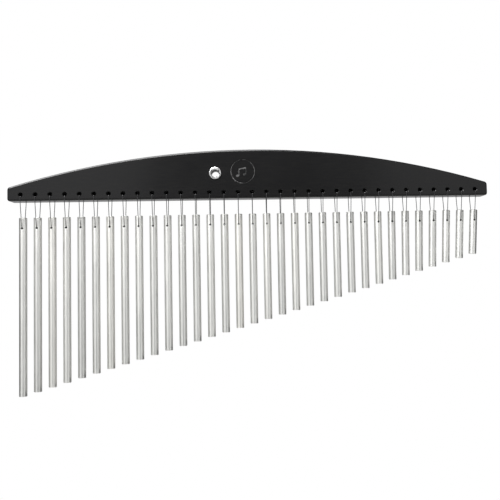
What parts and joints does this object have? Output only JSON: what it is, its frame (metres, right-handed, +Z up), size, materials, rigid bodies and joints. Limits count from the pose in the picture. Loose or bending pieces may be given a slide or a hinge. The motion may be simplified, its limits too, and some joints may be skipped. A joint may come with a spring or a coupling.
{
  "type": "bar chime",
  "caption": "Bar chime: solid metal bars of falling length hang on cord loops from a bowed black wooden holder with a steel-lined stand bore.",
  "frame": {"origin": "middle of the stand bore, on the holder's mid-thickness plane", "axes": "+X along the row towards the shortest bar, -Y out of the front face that carries the emblem, +Z up"},
  "size_m": [0.592, 0.0246, 0.2963],
  "materials": {
    "black_lacquered_wood": "satin",
    "bar_aluminium": "brushed",
    "ferrule_chrome": "polished",
    "cord_nylon": "glossy"
  },
  "bodies": {
    "holder": {"holder": "black_lacquered_wood", "front_ferrule": "ferrule_chrome", "rear_ferrule": "ferrule_chrome", "suspension_loops": "cord_nylon", "loop_knots": "cord_nylon"},
    "bar_01": {"chime_bar_01": "bar_aluminium"},
    "bar_02": {"chime_bar_02": "bar_aluminium"},
    "bar_03": {"chime_bar_03": "bar_aluminium"},
    "bar_04": {"chime_bar_04": "bar_aluminium"},
    "bar_05": {"chime_bar_05": "bar_aluminium"},
    "bar_06": {"chime_bar_06": "bar_aluminium"},
    "bar_07": {"chime_bar_07": "bar_aluminium"},
    "bar_08": {"chime_bar_08": "bar_aluminium"},
    "bar_09": {"chime_bar_09": "bar_aluminium"},
    "bar_10": {"chime_bar_10": "bar_aluminium"},
    "bar_11": {"chime_bar_11": "bar_aluminium"},
    "bar_12": {"chime_bar_12": "bar_aluminium"},
    "bar_13": {"chime_bar_13": "bar_aluminium"},
    "bar_14": {"chime_bar_14": "bar_aluminium"},
    "bar_15": {"chime_bar_15": "bar_aluminium"},
    "bar_16": {"chime_bar_16": "bar_aluminium"},
    "bar_17": {"chime_bar_17": "bar_aluminium"},
    "bar_18": {"chime_bar_18": "bar_aluminium"},
    "bar_19": {"chime_bar_19": "bar_aluminium"},
    "bar_20": {"chime_bar_20": "bar_aluminium"},
    "bar_21": {"chime_bar_21": "bar_aluminium"},
    "bar_22": {"chime_bar_22": "bar_aluminium"},
    "bar_23": {"chime_bar_23": "bar_aluminium"},
    "bar_24": {"chime_bar_24": "bar_aluminium"},
    "bar_25": {"chime_bar_25": "bar_aluminium"},
    "bar_26": {"chime_bar_26": "bar_aluminium"},
    "bar_27": {"chime_bar_27": "bar_aluminium"},
    "bar_28": {"chime_bar_28": "bar_aluminium"},
    "bar_29": {"chime_bar_29": "bar_aluminium"},
    "bar_30": {"chime_bar_30": "bar_aluminium"},
    "bar_31": {"chime_bar_31": "bar_aluminium"},
    "bar_32": {"chime_bar_32": "bar_aluminium"},
    "bar_33": {"chime_bar_33": "bar_aluminium"}
  },
  "joints": [
    {"name": "bar_01_swing", "type": "hinge", "parent": "holder", "child": "bar_01", "pos_m": [-0.2347, 0, -0.0637], "axis": [0, -1, 0], "range_deg": [-20, 2.2]},
    {"name": "bar_02_swing", "type": "hinge", "parent": "holder", "child": "bar_02", "pos_m": [-0.2172, 0, -0.06363], "axis": [0, -1, 0], "range_deg": [-2.2, 2.2]},
    {"name": "bar_03_swing", "type": "hinge", "parent": "holder", "child": "bar_03", "pos_m": [-0.1997, 0, -0.06356], "axis": [0, -1, 0], "range_deg": [-2.2, 2.3]},
    {"name": "bar_04_swing", "type": "hinge", "parent": "holder", "child": "bar_04", "pos_m": [-0.1822, 0, -0.06349], "axis": [0, -1, 0], "range_deg": [-2.3, 2.3]},
    {"name": "bar_05_swing", "type": "hinge", "parent": "holder", "child": "bar_05", "pos_m": [-0.1647, 0, -0.06342], "axis": [0, -1, 0], "range_deg": [-2.3, 2.4]},
    {"name": "bar_06_swing", "type": "hinge", "parent": "holder", "child": "bar_06", "pos_m": [-0.1472, 0, -0.06336], "axis": [0, -1, 0], "range_deg": [-2.4, 2.5]},
    {"name": "bar_07_swing", "type": "hinge", "parent": "holder", "child": "bar_07", "pos_m": [-0.1297, 0, -0.06329], "axis": [0, -1, 0], "range_deg": [-2.5, 2.6]},
    {"name": "bar_08_swing", "type": "hinge", "parent": "holder", "child": "bar_08", "pos_m": [-0.1122, 0, -0.06322], "axis": [0, -1, 0], "range_deg": [-2.6, 2.6]},
    {"name": "bar_09_swing", "type": "hinge", "parent": "holder", "child": "bar_09", "pos_m": [-0.0947, 0, -0.06315], "axis": [0, -1, 0], "range_deg": [-2.6, 2.7]},
    {"name": "bar_10_swing", "type": "hinge", "parent": "holder", "child": "bar_10", "pos_m": [-0.0772, 0, -0.06308], "axis": [0, -1, 0], "range_deg": [-2.7, 2.8]},
    {"name": "bar_11_swing", "type": "hinge", "parent": "holder", "child": "bar_11", "pos_m": [-0.0597, 0, -0.06301], "axis": [0, -1, 0], "range_deg": [-2.8, 2.9]},
    {"name": "bar_12_swing", "type": "hinge", "parent": "holder", "child": "bar_12", "pos_m": [-0.0422, 0, -0.06294], "axis": [0, -1, 0], "range_deg": [-2.9, 3]},
    {"name": "bar_13_swing", "type": "hinge", "parent": "holder", "child": "bar_13", "pos_m": [-0.0247, 0, -0.06288], "axis": [0, -1, 0], "range_deg": [-3, 3.1]},
    {"name": "bar_14_swing", "type": "hinge", "parent": "holder", "child": "bar_14", "pos_m": [-0.0072, 0, -0.06281], "axis": [0, -1, 0], "range_deg": [-3.1, 3.2]},
    {"name": "bar_15_swing", "type": "hinge", "parent": "holder", "child": "bar_15", "pos_m": [0.0103, 0, -0.06274], "axis": [0, -1, 0], "range_deg": [-3.2, 3.4]},
    {"name": "bar_16_swing", "type": "hinge", "parent": "holder", "child": "bar_16", "pos_m": [0.0278, 0, -0.06267], "axis": [0, -1, 0], "range_deg": [-3.4, 3.5]},
    {"name": "bar_17_swing", "type": "hinge", "parent": "holder", "child": "bar_17", "pos_m": [0.0453, 0, -0.0626], "axis": [0, -1, 0], "range_deg": [-3.5, 3.7]},
    {"name": "bar_18_swing", "type": "hinge", "parent": "holder", "child": "bar_18", "pos_m": [0.0628, 0, -0.06253], "axis": [0, -1, 0], "range_deg": [-3.7, 3.8]},
    {"name": "bar_19_swing", "type": "hinge", "parent": "holder", "child": "bar_19", "pos_m": [0.0803, 0, -0.06246], "axis": [0, -1, 0], "range_deg": [-3.8, 4]},
    {"name": "bar_20_swing", "type": "hinge", "parent": "holder", "child": "bar_20", "pos_m": [0.0978, 0, -0.06239], "axis": [0, -1, 0], "range_deg": [-4, 4.2]},
    {"name": "bar_21_swing", "type": "hinge", "parent": "holder", "child": "bar_21", "pos_m": [0.1153, 0, -0.06232], "axis": [0, -1, 0], "range_deg": [-4.2, 4.4]},
    {"name": "bar_22_swing", "type": "hinge", "parent": "holder", "child": "bar_22", "pos_m": [0.1328, 0, -0.06226], "axis": [0, -1, 0], "range_deg": [-4.4, 4.6]},
    {"name": "bar_23_swing", "type": "hinge", "parent": "holder", "child": "bar_23", "pos_m": [0.1503, 0, -0.06219], "axis": [0, -1, 0], "range_deg": [-4.7, 4.9]},
    {"name": "bar_24_swing", "type": "hinge", "parent": "holder", "child": "bar_24", "pos_m": [0.1678, 0, -0.06212], "axis": [0, -1, 0], "range_deg": [-4.9, 5.2]},
    {"name": "bar_25_swing", "type": "hinge", "parent": "holder", "child": "bar_25", "pos_m": [0.1853, 0, -0.06205], "axis": [0, -1, 0], "range_deg": [-5.2, 5.5]},
    {"name": "bar_26_swing", "type": "hinge", "parent": "holder", "child": "bar_26", "pos_m": [0.2028, 0, -0.06198], "axis": [0, -1, 0], "range_deg": [-5.6, 5.4]},
    {"name": "bar_27_swing", "type": "hinge", "parent": "holder", "child": "bar_27", "pos_m": [0.2203, 0, -0.06191], "axis": [0, -1, 0], "range_deg": [-5.5, 5.8]},
    {"name": "bar_28_swing", "type": "hinge", "parent": "holder", "child": "bar_28", "pos_m": [0.2378, 0, -0.06184], "axis": [0, -1, 0], "range_deg": [-5.9, 6.4]},
    {"name": "bar_29_swing", "type": "hinge", "parent": "holder", "child": "bar_29", "pos_m": [0.2553, 0, -0.06177], "axis": [0, -1, 0], "range_deg": [-6.4, 6.9]},
    {"name": "bar_30_swing", "type": "hinge", "parent": "holder", "child": "bar_30", "pos_m": [0.2728, 0, -0.06171], "axis": [0, -1, 0], "range_deg": [-7, 7.6]},
    {"name": "bar_31_swing", "type": "hinge", "parent": "holder", "child": "bar_31", "pos_m": [0.2903, 0, -0.06164], "axis": [0, -1, 0], "range_deg": [-7.7, 8.5]},
    {"name": "bar_32_swing", "type": "hinge", "parent": "holder", "child": "bar_32", "pos_m": [0.3078, 0, -0.06157], "axis": [0, -1, 0], "range_deg": [-8.6, 9.5]},
    {"name": "bar_33_swing", "type": "hinge", "parent": "holder", "child": "bar_33", "pos_m": [0.3253, 0, -0.0615], "axis": [0, -1, 0], "range_deg": [-9.6, 20]}
  ]
}
